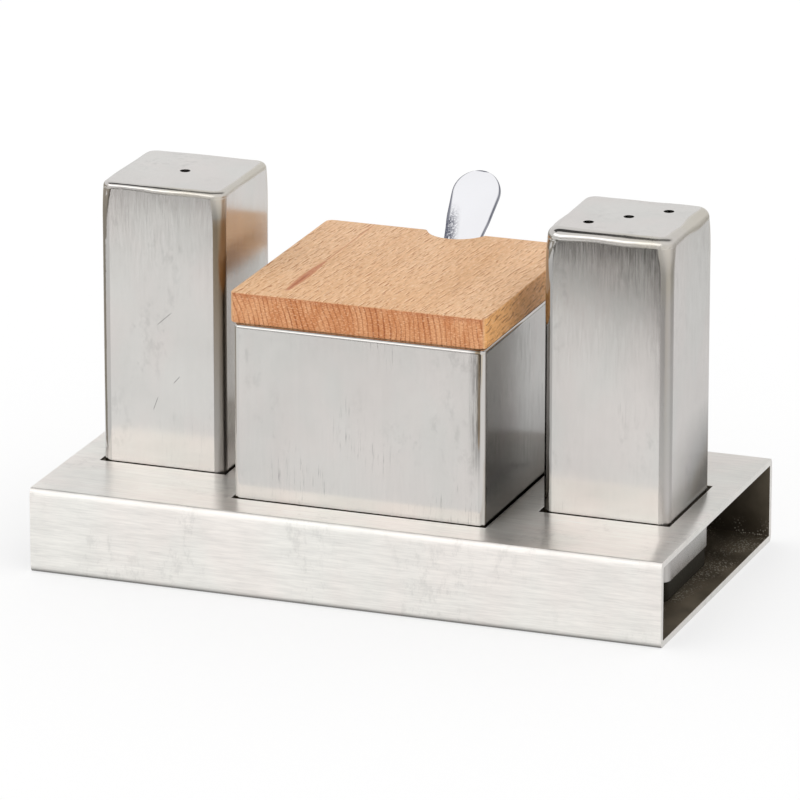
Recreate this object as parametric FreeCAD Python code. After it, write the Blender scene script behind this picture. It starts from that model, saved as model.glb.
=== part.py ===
import FreeCAD, Part
import math
import os

# Salt and sugar set: a flat steel tube lies on the table, and two square shakers and a
# square sugar box with a wooden lid stand in cut-outs in its top, on its inner floor.
# Millimetres. The origin is the middle of the stand's underside, +X runs along the stand,
# +Y to its back and +Z up. Left and right are as seen from the front.

# Stand: one rectangular tube, open at both ends
stand_length = 151.0
stand_depth = 80.0
stand_height = 20.0
stand_wall = 1.5
stand_edge_radius = 1.8

# The row that stands in the cut-outs
row_middle_x = 0.35
shaker_spacing = 53.3
cutout_gap = 0.5

# Shakers: square tube with a welded top, ground round
shaker_side = 30.0
shaker_wall = 1.5
shaker_edge_radius = 2.3
shaker_length = 80.0
shaker_top_thickness = 1.5
shaker_top_rounding = 2.1
pour_hole_diameter = 2.4
pour_hole_pitch = 10.0
left_pour_holes = 1
right_pour_holes = 3

# Plugs: ribbed inserts that close the shakers from below
plug_foot_height = 4.8
plug_foot_inset = 0.4
plug_foot_edge = 0.6
plug_stem_length = 10.0
plug_stem_gap = 0.6
plug_stem_wall = 1.6
plug_stem_radius = 0.8
plug_floor = 1.5
plug_rib_count = 3
plug_rib_height = 0.8
plug_rib_pitch = 2.8
plug_rib_gap = 0.08

# Sugar box: square tube on a welded bottom plate
box_side = 60.0
box_wall = 1.2
box_edge_radius = 1.4
box_height = 59.5
box_bottom_thickness = 1.2

# Lid: a wooden board with a smaller block glued under it, which drops into the box
lid_width = 61.0
lid_depth = 62.0
lid_thickness = 7.2
lid_corner_radius = 1.0
lid_edge_rounding = 0.4
lid_offset_x = -0.65
lid_block_width = 54.0
lid_block_depth = 53.6
lid_block_thickness = 4.0
lid_block_back_gap = 0.3
notch_offset_x = 1.15
notch_side_gap = 1.5
notch_front_gap = 2.6
notch_lean = 19.0
notch_corner_rounding = 0.6
block_notch_extra = 3.0

# Spoon: stands in the box and leans back through the lid's notch
spoon_lean = 38.5
spoon_roll = 3.0
spoon_offset_x = 1.3
spoon_wall_gap = 0.15
spoon_floor_gap = 0.3
bowl_length = 30.0
bowl_width = 21.0
bowl_depth = 5.6
bowl_wall = 1.0
handle_thickness = 1.0
handle_chord = 64.5
handle_start_angle = 18.0
handle_end_angle = -6.0
handle_end_width = 11.6
neck_width = 4.4
# The handle's half width at these distances from its end
handle_half_widths = [(39.2, 2.35), (25.2, 3.2), (16.6, 4.5), (12.2, 5.25)]

# Step between the points on which a placed shape is measured, and how near counts as equal
measuring_step = 0.05
near = 0.001

# Heights that follow from the sizes above
floor_z = stand_wall
shaker_bottom_z = floor_z + plug_foot_height
shaker_top_z = shaker_bottom_z + shaker_length
rim_z = floor_z + box_height
lid_top_z = rim_z + lid_thickness

# Places in the row
left_x = row_middle_x - shaker_spacing
right_x = row_middle_x + shaker_spacing
box_x = row_middle_x
lid_x = box_x + lid_offset_x
box_back_inside_y = box_side / 2 - box_wall
lid_y = box_back_inside_y - lid_block_back_gap - lid_block_depth / 2

# The lid's notch, round the place where the spoon leans on the rim
notch_x = lid_x + notch_offset_x
notch_radius = handle_end_width / 2 + notch_side_gap
notch_front_y = box_back_inside_y - spoon_wall_gap - handle_thickness - notch_front_gap
spoon_x = notch_x + spoon_offset_x

X = FreeCAD.Vector(1, 0, 0)
Y = FreeCAD.Vector(0, 1, 0)
Z = FreeCAD.Vector(0, 0, 1)


def vector(x, y, z):
    return FreeCAD.Vector(x, y, z)


def edges_along(shape, axis):
    """The straight edges of a shape that run along an axis."""
    found = []
    for edge in shape.Edges:
        straight = isinstance(edge.Curve, (Part.Line, Part.LineSegment))
        if straight and abs(edge.tangentAt(edge.FirstParameter).dot(axis)) > 0.999:
            found.append(edge)
    return found


def edges_at_height(shape, z):
    """The edges of a shape that lie flat at one height."""
    return [e for e in shape.Edges if abs(e.BoundBox.ZMin - z) < near and abs(e.BoundBox.ZMax - z) < near]


def bar(size, middle, radius, axis=Z):
    """A block standing at the height of middle, with its edges along the axis rounded."""
    corner = vector(middle.x - size.x / 2, middle.y - size.y / 2, middle.z)
    block = Part.makeBox(size.x, size.y, size.z, corner)
    return block.makeFillet(radius, edges_along(block, axis))


def square_bar(side, height, middle, radius):
    return bar(vector(side, side, height), middle, radius)


def outermost(shape, direction):
    """How far a shape reaches along a direction."""
    points, _ = shape.tessellate(measuring_step)
    return max(point.dot(direction) for point in points)


def stand_tube():
    """The tube lying flat, with one square cut-out for each body of the row."""
    outside = bar(
        vector(stand_length, stand_depth, stand_height), vector(0, 0, 0), stand_edge_radius, X
    )
    inside = bar(
        vector(stand_length + 2, stand_depth - 2 * stand_wall, stand_height - 2 * stand_wall),
        vector(0, 0, floor_z),
        stand_edge_radius - stand_wall,
        X,
    )
    tube = outside.cut(inside)
    for x, side in ((left_x, shaker_side), (box_x, box_side), (right_x, shaker_side)):
        opening = side + 2 * cutout_gap
        corner = vector(x - opening / 2, -opening / 2, stand_height / 2)
        tube = tube.cut(Part.makeBox(opening, opening, stand_height, corner))
    return tube


def shaker_shell(x, pour_holes):
    """A shaker's steel as it is after welding and grinding: open below, rounded on top."""
    bottom = vector(x, 0, shaker_bottom_z)
    outside = square_bar(shaker_side, shaker_length, bottom, shaker_edge_radius)
    outside = outside.makeFillet(shaker_top_rounding, edges_at_height(outside, shaker_top_z))
    inside = square_bar(
        shaker_side - 2 * shaker_wall,
        shaker_length - shaker_top_thickness,
        bottom,
        shaker_edge_radius - shaker_wall,
    )
    shell = outside.cut(inside)
    for hole in range(pour_holes):
        along = (hole - (pour_holes - 1) / 2) * pour_hole_pitch
        diagonal = along * math.sqrt(0.5)
        foot = vector(x + diagonal, diagonal, shaker_top_z - 2 * shaker_top_thickness)
        shell = shell.cut(Part.makeCylinder(pour_hole_diameter / 2, 3 * shaker_top_thickness, foot, Z))
    return shell


def shaker_parts(x, pour_holes):
    """The shell parted at the weld: the square tube, and the top plate that closes it."""
    shell = shaker_shell(x, pour_holes)
    weld_z = shaker_top_z - shaker_top_thickness
    corner = vector(x - shaker_side, -shaker_side, weld_z)
    above = Part.makeBox(2 * shaker_side, 2 * shaker_side, shaker_side, corner)
    return shell.cut(above), shell.common(above)


def shaker_plug(x):
    """A square insert: a foot under the shaker's edge and a hollow ribbed stem inside it."""
    bore = shaker_side - 2 * shaker_wall
    foot = square_bar(
        shaker_side - 2 * plug_foot_inset,
        plug_foot_height,
        vector(x, 0, floor_z),
        shaker_edge_radius - plug_foot_inset,
    )
    foot = foot.makeFillet(plug_foot_edge, edges_at_height(foot, floor_z))
    stem_side = bore - 2 * plug_stem_gap
    plug = foot.fuse(
        square_bar(stem_side, plug_stem_length, vector(x, 0, shaker_bottom_z), plug_stem_radius)
    )
    for rib in range(plug_rib_count):
        z = shaker_bottom_z + (rib + 0.5) * plug_rib_pitch
        plug = plug.fuse(
            square_bar(bore - 2 * plug_rib_gap, plug_rib_height, vector(x, 0, z), plug_stem_radius)
        )
    cup_floor_z = shaker_bottom_z + plug_floor
    cup = square_bar(
        stem_side - 2 * plug_stem_wall,
        plug_stem_length,
        vector(x, 0, cup_floor_z),
        plug_stem_radius / 2,
    )
    return plug.cut(cup).removeSplitter()


def box_tube():
    """The sugar box's walls, open at both ends."""
    start = vector(box_x, 0, floor_z + box_bottom_thickness)
    height = box_height - box_bottom_thickness
    outside = square_bar(box_side, height, start, box_edge_radius)
    inside = square_bar(box_side - 2 * box_wall, height, start, box_edge_radius - box_wall)
    return outside.cut(inside)


def box_bottom():
    """The plate welded under the sugar box's walls."""
    return square_bar(box_side, box_bottom_thickness, vector(box_x, 0, floor_z), box_edge_radius)


def notch_cutter():
    """A bar that leans back as the spoon does: round in front, with straight sides behind."""
    length = 4 * lid_thickness
    lean = math.radians(notch_lean)
    round_front = Part.makeCylinder(notch_radius, length, -Z * length / 2)
    corner = vector(-notch_radius, 0, -length / 2)
    straight = Part.makeBox(2 * notch_radius, lid_depth, length, corner)
    cutter = round_front.fuse(straight)
    cutter.rotate(vector(0, 0, 0), X, -notch_lean)
    cutter.translate(vector(notch_x, notch_front_y + notch_radius / math.cos(lean), rim_z))
    return cutter


def lid_board():
    """The wooden board, with a notch for the spoon in its back edge."""
    size = vector(lid_width, lid_depth, lid_thickness)
    board = bar(size, vector(lid_x, lid_y, rim_z), lid_corner_radius).cut(notch_cutter())
    back_y = lid_y + lid_depth / 2
    mouth = []
    for edge in board.Edges:
        middle = edge.BoundBox.Center
        upright = edge.BoundBox.ZLength > lid_thickness / 2
        beside_notch = abs(middle.x - notch_x) < notch_radius + lid_corner_radius
        if upright and beside_notch and middle.y > back_y - near:
            mouth.append(edge)
    board = board.makeFillet(notch_corner_rounding, mouth)
    return board.makeFillet(lid_edge_rounding, edges_at_height(board, lid_top_z))


def lid_block():
    """The block under the board, with a deeper notch because the spoon leans."""
    under = vector(lid_x, lid_y, rim_z - lid_block_thickness)
    size = vector(lid_block_width, lid_block_depth, lid_block_thickness)
    block = bar(size, under, lid_corner_radius)
    corner = vector(notch_x - notch_radius, notch_front_y - block_notch_extra, under.z)
    return block.cut(Part.makeBox(2 * notch_radius, lid_depth, lid_block_thickness, corner))


def bowl_dish(inset):
    """The bowl's outer form, or its hollow when inset by the wall: an arc turned about a line
    in front of the rim, and cut off at the rim's plane."""
    long_radius = (bowl_length**2 / 4 + bowl_depth**2) / (2 * bowl_depth)
    cross_radius = (bowl_width**2 / 4 + bowl_depth**2) / (2 * bowl_depth)
    centre_y = bowl_depth - long_radius
    middle_z = bowl_length / 2
    cut_y = -handle_thickness
    reach = math.sqrt((long_radius - inset) ** 2 - (cut_y - centre_y) ** 2)
    low = vector(0, cut_y, middle_z - reach)
    high = vector(0, cut_y, middle_z + reach)
    arc = Part.Arc(low, vector(0, bowl_depth - inset, middle_z), high).toShape()
    section = Part.Face(Part.Wire([arc, Part.makeLine(high, low)]))
    turned = section.revolve(vector(0, bowl_depth - cross_radius, 0), Z, 360)
    corner = vector(-bowl_width, 0, -bowl_length)
    return turned.common(Part.makeBox(2 * bowl_width, 2 * bowl_depth, 3 * bowl_length, corner))


def spoon_bowl():
    """The bowl standing on its tip, with its rim in the XZ plane and its hollow to the front."""
    return bowl_dish(0).cut(bowl_dish(bowl_wall))


def handle_point(angle, radius, centre):
    """A point of the handle's side view where it rises at an angle from the rim's plane."""
    turn = math.radians(angle)
    return vector(0, centre.y - radius * math.cos(turn), centre.z - radius * math.sin(turn))


def handle_strip():
    """The handle in side view, an arc of even thickness, as wide as the spoon."""
    turn = math.radians(handle_start_angle - handle_end_angle)
    radius = handle_chord / (2 * math.sin(turn / 2))
    start = math.radians(handle_start_angle)
    overlap = bowl_wall
    centre = vector(0, radius * math.cos(start), bowl_length - overlap + radius * math.sin(start))
    middle = (handle_start_angle + handle_end_angle) / 2
    angles = (handle_start_angle, middle, handle_end_angle)
    front = [handle_point(a, radius + handle_thickness / 2, centre) for a in angles]
    back = [handle_point(a, radius - handle_thickness / 2, centre) for a in angles]
    edges = [
        Part.Arc(*front).toShape(),
        Part.makeLine(front[2], back[2]),
        Part.Arc(*reversed(back)).toShape(),
        Part.makeLine(back[0], front[0]),
    ]
    side = Part.Face(Part.Wire(edges))
    side.translate(vector(-bowl_width / 2, 0, 0))
    return side.extrude(vector(bowl_width, 0, 0)), (front[2].z + back[2].z) / 2


def handle_outline(end_z):
    """The handle from the front: a slim neck that widens to a round end, cut right through."""
    start_z = bowl_length - 2 * bowl_wall
    end_radius = handle_end_width / 2
    shoulder_z = end_z - end_radius
    widths = [(neck_width / 2, start_z)]
    widths += [(half, end_z - distance) for distance, half in handle_half_widths]
    widths += [(end_radius, shoulder_z)]

    def flank(side):
        curve = Part.BSplineCurve()
        points = [vector(side * half, 0, z) for half, z in widths]
        curve.interpolate(Points=points, InitialTangent=Z, FinalTangent=Z)
        return curve.toShape()

    right = vector(end_radius, 0, shoulder_z)
    left = vector(-end_radius, 0, shoulder_z)
    edges = [
        flank(1),
        Part.Arc(right, vector(0, 0, end_z), left).toShape(),
        flank(-1),
        Part.makeLine(vector(-neck_width / 2, 0, start_z), vector(neck_width / 2, 0, start_z)),
    ]
    face = Part.Face(Part.Wire(Part.__sortEdges__(edges)))
    face.translate(vector(0, -bowl_length, 0))
    return face.extrude(vector(0, 2 * bowl_length, 0))


def sugar_spoon():
    """The spoon, leaning back against the box's rear wall with its bowl on the box's floor."""
    strip, end_z = handle_strip()
    spoon = spoon_bowl().fuse(strip.common(handle_outline(end_z))).removeSplitter()
    spoon.rotate(vector(0, 0, 0), Y, spoon_roll)
    spoon.rotate(vector(0, 0, 0), X, -spoon_lean)
    box_floor_z = floor_z + box_bottom_thickness
    spoon.translate(vector(0, 0, box_floor_z + spoon_floor_gap + outermost(spoon, -Z)))
    slab = Part.makeBox(box_side * 2, box_side * 4, handle_thickness)
    slab.translate(vector(-box_side, -box_side * 2, rim_z - handle_thickness))
    at_rim = spoon.common(slab)
    back = box_back_inside_y - spoon_wall_gap - outermost(at_rim, Y)
    middle = (outermost(at_rim, X) - outermost(at_rim, -X)) / 2
    spoon.translate(vector(spoon_x - middle, back, 0))
    return spoon


os.makedirs("parts", exist_ok=True)
left_tube, left_top = shaker_parts(left_x, left_pour_holes)
right_tube, right_top = shaker_parts(right_x, right_pour_holes)
parts = {
    "stand_tube": stand_tube(),
    "left_shaker_tube": left_tube,
    "left_shaker_top": left_top,
    "left_shaker_plug": shaker_plug(left_x),
    "right_shaker_tube": right_tube,
    "right_shaker_top": right_top,
    "right_shaker_plug": shaker_plug(right_x),
    "box_tube": box_tube(),
    "box_bottom": box_bottom(),
    "lid_board": lid_board(),
    "lid_block": lid_block(),
    "sugar_spoon": sugar_spoon(),
}
for name, shape in parts.items():
    shape.exportStep(f"parts/{name}.step")
    bounds = shape.BoundBox
    print(
        f"{name}: solids {len(shape.Solids)}, valid {shape.isValid()}, volume {shape.Volume:.1f},",
        f"X {bounds.XMin:.2f} to {bounds.XMax:.2f}, Y {bounds.YMin:.2f} to {bounds.YMax:.2f},",
        f"Z {bounds.ZMin:.2f} to {bounds.ZMax:.2f}",
    )
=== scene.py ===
import math

import bmesh
import bpy
from mathutils import Matrix, Vector, noise


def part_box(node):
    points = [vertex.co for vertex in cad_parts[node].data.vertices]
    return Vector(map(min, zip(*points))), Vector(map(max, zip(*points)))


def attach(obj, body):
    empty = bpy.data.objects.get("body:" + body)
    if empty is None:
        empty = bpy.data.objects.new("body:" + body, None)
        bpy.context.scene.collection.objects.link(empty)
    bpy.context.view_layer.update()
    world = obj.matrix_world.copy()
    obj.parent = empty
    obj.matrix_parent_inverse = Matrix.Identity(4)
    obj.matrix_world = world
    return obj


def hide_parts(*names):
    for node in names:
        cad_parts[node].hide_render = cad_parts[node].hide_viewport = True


# Salt and sugar set in steel and beech. Metres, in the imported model's frame: +X runs along
# the stand, +Y to its back, +Z up. Sizes written in millimetres are turned by MM.
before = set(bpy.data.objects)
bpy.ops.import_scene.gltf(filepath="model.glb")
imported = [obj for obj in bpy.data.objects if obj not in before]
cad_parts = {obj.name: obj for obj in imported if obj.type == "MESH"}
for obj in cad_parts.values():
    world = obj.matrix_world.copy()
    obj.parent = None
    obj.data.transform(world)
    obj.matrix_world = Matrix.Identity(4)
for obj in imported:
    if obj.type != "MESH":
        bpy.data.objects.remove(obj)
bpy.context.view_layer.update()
MM = 0.001

# Camera, as the photograph was taken
CAMERA_AZIMUTH = math.radians(20.368)
CAMERA_ELEVATION = math.radians(17.687)
CAMERA_ROLL = math.radians(0.026)
CAMERA_DISTANCE = 1703.8 * MM
CAMERA_LENS = 337.3
CAMERA_SENSOR = 36.0
AIM_ALONG_IMAGE = -0.716 * MM
AIM_HEIGHT = 37.41 * MM

# Sizes of the steel work, in millimetres
STAND_WALL = 1.5
STAND_ROUNDING_Y = 0.9
STAND_ROUNDING_Z = 2.2
STAND_RADIUS_INSIDE = 0.3
CUTOUT_GAP = 0.5
SHAKER_WALL = 1.5
SHAKER_RADIUS = 2.3
SHAKER_TOP_ROUNDING = {"left": 1.35, "right": 2.1}
SHAKER_RADIUS_TOP = {"left": 3.1, "right": 3.5}
SHAKER_GROUND_HEIGHT = 7.0
GRIND_UNEVEN = 0.35
# Painted shade on the shakers' left and right front corners, as shares of their brightness
CORNER_SHADE = {"left": (0.2, 0.5), "right": (0.35, 0.25)}
# Painted shade on the shakers' fronts below the top edge and beside the right corner
FRONT_TOP_SHADE = {"left": 0.12, "right": 0.42}
SOFT_FADE = {"left": 14.0, "right": 26.0}
# Painted shade on the right shaker's right face: its strength, its most, what is left of it inside the stand, and how
# far down from the top it begins, in millimetres
SHADE = 1.35
SHADE_MOST = 0.85
SHADE_INSIDE = 0.15
SHADE_DOWN = 44.0
# Painted shade on the sugar box's right face, darkest at the stand's top
BOX_SHADE = 0.76
STAND_TOP = 20.0
HOLE_DIAMETER = 2.4
HOLE_PITCH = 10.0
BOX_WALL = 1.2
BOX_RADIUS = 1.4
RIM_ROUNDING = 0.8
SUPPORT = 0.12
CUT_EDGE = 0.12
RIPPLE_HEIGHT = 0.2 * MM

# Sizes of the lid, in millimetres
LID_RADIUS = 1.8
LID_EDGE = 0.5
LID_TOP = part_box("lid_board")[1].z / MM
NOTCH_X = 0.85
NOTCH_RADIUS = 7.3
NOTCH_TOP_FRONT_Y = 27.53
NOTCH_LEAN = math.radians(19.0)
NOTCH_MOUTH = 0.6

# Sizes of the spoon, in millimetres, standing on its bowl's tip before it is leant back
SPOON_LEAN = math.radians(38.5)
SPOON_ROLL = math.radians(3.0)
BOWL_LENGTH = 30.0
BOWL_WIDTH = 21.0
BOWL_DEPTH = 5.6
SPOON_THICKNESS = 1.0
HANDLE_CHORD = 64.5
HANDLE_START = math.radians(18.0)
HANDLE_END = math.radians(-6.0)
HANDLE_END_WIDTH = 11.6
NECK_WIDTH = 4.4
HANDLE_HALF_WIDTHS = [(39.2, 2.35), (25.2, 3.2), (16.6, 4.5), (12.2, 5.25)]

# Scratches on the left shaker's front, each from one place to another, as (x, z) in millimetres
SCRATCHES = [
    ((-54.4, 53.5), (-50.2, 57.3)),
    ((-50.3, 40.1), (-48.5, 42.2)),
    ((-55.3, 33.1), (-53.9, 36.9)),
]

# The red streak in the lid
STREAK_X = -19.0 * MM
STREAK_Y = -12.2 * MM
STREAK_HALF_LENGTH = 13.8 * MM
STREAK_HALF_WIDTH = 1.0 * MM

# The white sheet under the set, from the frame's origin to each of its edges
SHEET_FRONT_LEFT = 243 * MM
SHEET_FRONT_RIGHT = 172 * MM
SHEET_LEFT = 300 * MM
SHEET_LEFT_BACK = 135 * MM
SHEET_RIGHT = 290 * MM
SHEET_BACK = 1600 * MM
FLOOR_DROP = 0.02 * MM
FLOOR_WHITE = 0.6

# The sheet round it, with a gap between the two: where it begins and ends, in sizes of the first
OUTER_SHEET = 1.5
OUTER_SHEET_END = 6.0

# Light of the tent round the set, where 1 is white
PLAIN_LIGHT = 1.07
BACK_LIGHT = 0.905
FRONT_LIGHT = 0.98
FRONT_STRIP_LIGHT = 2.45
GAP_LIGHT = 0.08
ROOM_FRONT_LIGHT = 0.12
ROOM_SIDE_LIGHT = 0.42
CARD_LIGHT = 0.9

# Where the tent's dark gap begins and ends: steps toward the camera for each step up
GAP_BACK = -0.71
GAP_FRONT = 0.105


# Points and meshes


def mm(*values):
    return Vector(values) * MM


def rounded_ring(half_a, half_b, radius, corner_steps=8, side_steps=6, radius_b=None):
    """Points round a rectangle with round corners, with one more beside each corner."""
    radius = max(radius, 0.02)
    radius_b = radius_b or radius
    points = []
    for corner in range(4):
        sign_a = 1 if corner in (0, 3) else -1
        sign_b = 1 if corner in (0, 1) else -1
        centre = (sign_a * (half_a - radius), sign_b * (half_b - radius_b))
        start = corner * math.pi / 2
        arc = []
        for step in range(corner_steps + 1):
            turn = start + math.pi / 2 * step / corner_steps
            arc.append((centre[0] + radius * math.cos(turn), centre[1] + radius_b * math.sin(turn)))
        before = (arc[0][0] + SUPPORT * math.sin(start), arc[0][1] - SUPPORT * math.cos(start))
        end = start + math.pi / 2
        after = (arc[-1][0] - SUPPORT * math.sin(end), arc[-1][1] + SUPPORT * math.cos(end))
        points += [before] + arc + [after]
        next_a = (-1 if corner in (0, 1) else 1) * (half_a - radius)
        if corner % 2 == 0:
            far = (next_a + sign_a * SUPPORT, after[1])
        else:
            far = (after[0], -sign_b * (half_b - radius_b) + sign_b * SUPPORT)
        for step in range(1, side_steps):
            share = step / side_steps
            points.append(
                (after[0] + (far[0] - after[0]) * share, after[1] + (far[1] - after[1]) * share)
            )
    return points


def lofted(name, rings, close_ends=True, join_last_to_first=False):
    """A mesh through rings that all have as many points."""
    mesh = bpy.data.meshes.new(name)
    build = bmesh.new()
    loops = [[build.verts.new(point) for point in ring] for ring in rings]
    pairs = list(zip(loops, loops[1:]))
    if join_last_to_first:
        pairs.append((loops[-1], loops[0]))
    for low, high in pairs:
        for i in range(len(low)):
            j = (i + 1) % len(low)
            build.faces.new((low[i], low[j], high[j], high[i]))
    if close_ends and not join_last_to_first:
        build.faces.new(list(reversed(loops[0])))
        build.faces.new(loops[-1])
    bmesh.ops.recalc_face_normals(build, faces=build.faces)
    build.to_mesh(mesh)
    build.free()
    piece = bpy.data.objects.new(name, mesh)
    bpy.context.scene.collection.objects.link(piece)
    return piece


def apply_modifiers(piece):
    """The piece's mesh as its modifiers make it."""
    bpy.context.view_layer.update()
    evaluated = piece.evaluated_get(bpy.context.evaluated_depsgraph_get())
    made = bpy.data.meshes.new_from_object(evaluated)
    piece.modifiers.clear()
    piece.data = made


def cut_away(piece, cutters):
    """Takes the cutters' space out of the piece, and removes the cutters."""
    for cutter in cutters:
        cut = piece.modifiers.new("cut", "BOOLEAN")
        cut.operation = "DIFFERENCE"
        cut.solver = "EXACT"
        cut.object = cutter
        apply_modifiers(piece)
        bpy.data.objects.remove(cutter)


def break_edges(piece, width, angle, segments=2):
    """Rounds the sharp edges a little, as handling and grinding do."""
    bevel = piece.modifiers.new("break", "BEVEL")
    bevel.width = width * MM
    bevel.segments = segments
    bevel.limit_method = "ANGLE"
    bevel.angle_limit = math.radians(angle)
    apply_modifiers(piece)


def smooth(piece, sharp_angle=38):
    """Shades the piece smoothly, but for edges sharper than the angle."""
    build = bmesh.new()
    build.from_mesh(piece.data)
    for face in build.faces:
        face.smooth = True
    for edge in build.edges:
        edge.smooth = len(edge.link_faces) == 2 and edge.calc_face_angle(0) < math.radians(sharp_angle)
    build.to_mesh(piece.data)
    build.free()


def block(low, high):
    """A plain box, used to cut with."""
    middle = (low + high) / 2
    size = high - low
    mesh = bpy.data.meshes.new("cutter")
    build = bmesh.new()
    bmesh.ops.create_cube(build, size=1, matrix=Matrix.Translation(middle) @ Matrix.Diagonal((*size, 1)))
    build.to_mesh(mesh)
    build.free()
    piece = bpy.data.objects.new("cutter", mesh)
    bpy.context.scene.collection.objects.link(piece)
    return piece


def round_bar(middle, radius, length):
    """An upright cylinder, used to cut with."""
    mesh = bpy.data.meshes.new("cutter")
    build = bmesh.new()
    bmesh.ops.create_cone(
        build,
        cap_ends=True,
        segments=40,
        radius1=radius,
        radius2=radius,
        depth=length,
        matrix=Matrix.Translation(middle),
    )
    build.to_mesh(mesh)
    build.free()
    piece = bpy.data.objects.new("cutter", mesh)
    bpy.context.scene.collection.objects.link(piece)
    return piece


def paint(piece, name, value_at):
    """Writes a number on every vertex, worked out from its place."""
    layer = piece.data.attributes.new(name, "FLOAT", "POINT")
    layer.data.foreach_set("value", [value_at(vertex.co) for vertex in piece.data.vertices])


def steps_between(low, high, count):
    return [low + (high - low) * i / count for i in range(count + 1)]


# Nodes


class Nodes:
    """A material's node tree, with short calls for the nodes that the finishes need."""

    def __init__(self, name):
        self.material = bpy.data.materials.new(name)
        self.material.use_nodes = True
        self.tree = self.material.node_tree
        self.tree.nodes.clear()
        self.output = self.tree.nodes.new("ShaderNodeOutputMaterial")
        self.shader = self.tree.nodes.new("ShaderNodeBsdfPrincipled")
        self.link(self.shader.outputs[0], self.output.inputs[0])
        self.place = self.tree.nodes.new("ShaderNodeTexCoord").outputs["Object"]

    def link(self, source, target):
        self.tree.links.new(source, target)

    def put(self, value, target):
        """Links a socket, or sets a plain value."""
        if isinstance(value, bpy.types.NodeSocket):
            self.link(value, target)
        elif target.type == "VECTOR":
            target.default_value = value[:3]
        else:
            target.default_value = value

    def stretched(self, scale, turn=(0, 0, 0), offset=(0, 0, 0)):
        """The object's coordinates with a scale for each axis, in waves per metre."""
        mapping = self.tree.nodes.new("ShaderNodeMapping")
        mapping.inputs["Location"].default_value = offset
        mapping.inputs["Rotation"].default_value = turn
        mapping.inputs["Scale"].default_value = scale
        self.link(self.place, mapping.inputs["Vector"])
        return mapping.outputs[0]

    def noise(self, scale, detail=2.0, roughness=0.5, distortion=0.0, offset=(0, 0, 0), turn=(0, 0, 0)):
        texture = self.tree.nodes.new("ShaderNodeTexNoise")
        self.link(self.stretched(scale, turn, offset), texture.inputs["Vector"])
        texture.inputs["Scale"].default_value = 1.0
        texture.inputs["Detail"].default_value = detail
        texture.inputs["Roughness"].default_value = roughness
        texture.inputs["Distortion"].default_value = distortion
        return texture.outputs["Fac"]

    def cells(self, scale, offset=(0, 0, 0), turn=(0, 0, 0), randomness=1.0):
        """Distance to the nearest of scattered points, in stretched coordinates."""
        texture = self.tree.nodes.new("ShaderNodeTexVoronoi")
        self.link(self.stretched(scale, turn, offset), texture.inputs["Vector"])
        texture.inputs["Scale"].default_value = 1.0
        texture.inputs["Randomness"].default_value = randomness
        return texture.outputs["Distance"]

    def math(self, operation, a, b=0.0, c=0.0, clamp=False):
        node = self.tree.nodes.new("ShaderNodeMath")
        node.operation = operation
        node.use_clamp = clamp
        for value, socket in zip((a, b, c), node.inputs):
            self.put(value, socket)
        return node.outputs[0]

    def span(self, value, low, high, to_low=0.0, to_high=1.0):
        """A smooth step from one value to another."""
        node = self.tree.nodes.new("ShaderNodeMapRange")
        node.interpolation_type = "SMOOTHSTEP"
        for name, number in (("From Min", low), ("From Max", high), ("To Min", to_low), ("To Max", to_high)):
            node.inputs[name].default_value = number
        self.put(value, node.inputs["Value"])
        return node.outputs[0]

    def mixed(self, share, a, b):
        """A colour between two colours."""
        node = self.tree.nodes.new("ShaderNodeMix")
        node.data_type = "RGBA"
        self.put(share, node.inputs[0])
        self.put(a, node.inputs[6])
        self.put(b, node.inputs[7])
        return node.outputs[2]

    def between(self, share, a, b):
        """A number between two numbers."""
        return self.math("MULTIPLY_ADD", share, self.math("SUBTRACT", b, a), a)

    def shaded(self, colour, amount):
        """A colour times a number."""
        node = self.tree.nodes.new("ShaderNodeVectorMath")
        node.operation = "SCALE"
        self.put(colour, node.inputs[0])
        self.put(amount, node.inputs["Scale"])
        return node.outputs[0]

    def times(self, a, b):
        """A colour times a colour."""
        node = self.tree.nodes.new("ShaderNodeVectorMath")
        node.operation = "MULTIPLY"
        self.put(a, node.inputs[0])
        self.put(b, node.inputs[1])
        return node.outputs[0]

    def axes(self):
        node = self.tree.nodes.new("ShaderNodeSeparateXYZ")
        self.link(self.place, node.inputs[0])
        return node.outputs

    def normal(self):
        """The three parts of the surface's direction."""
        geometry = self.tree.nodes.new("ShaderNodeNewGeometry")
        parts = self.tree.nodes.new("ShaderNodeSeparateXYZ")
        self.link(geometry.outputs["Normal"], parts.inputs[0])
        return parts.outputs

    def brush_along(self, axis):
        """Spreads the reflection across strokes that run along an axis."""
        geometry = self.tree.nodes.new("ShaderNodeNewGeometry")
        across = self.tree.nodes.new("ShaderNodeVectorMath")
        across.operation = "CROSS_PRODUCT"
        self.link(geometry.outputs["Normal"], across.inputs[0])
        across.inputs[1].default_value = [1.0 if i == axis else 0.001 for i in range(3)]
        self.link(across.outputs[0], self.shader.inputs["Tangent"])

    def painted(self, name):
        node = self.tree.nodes.new("ShaderNodeAttribute")
        node.attribute_name = name
        return node.outputs["Fac"]

    def bump(self, height, strength, distance):
        node = self.tree.nodes.new("ShaderNodeBump")
        node.inputs["Strength"].default_value = strength
        node.inputs["Distance"].default_value = distance
        self.link(height, node.inputs["Height"])
        self.link(node.outputs[0], self.shader.inputs["Normal"])

    def finish(self, **sockets):
        for name, value in sockets.items():
            self.put(value, self.shader.inputs[name.replace("_", " ")])
        return self.material


def rgb(red, green, blue):
    return (red, green, blue, 1.0)


# Materials


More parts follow.
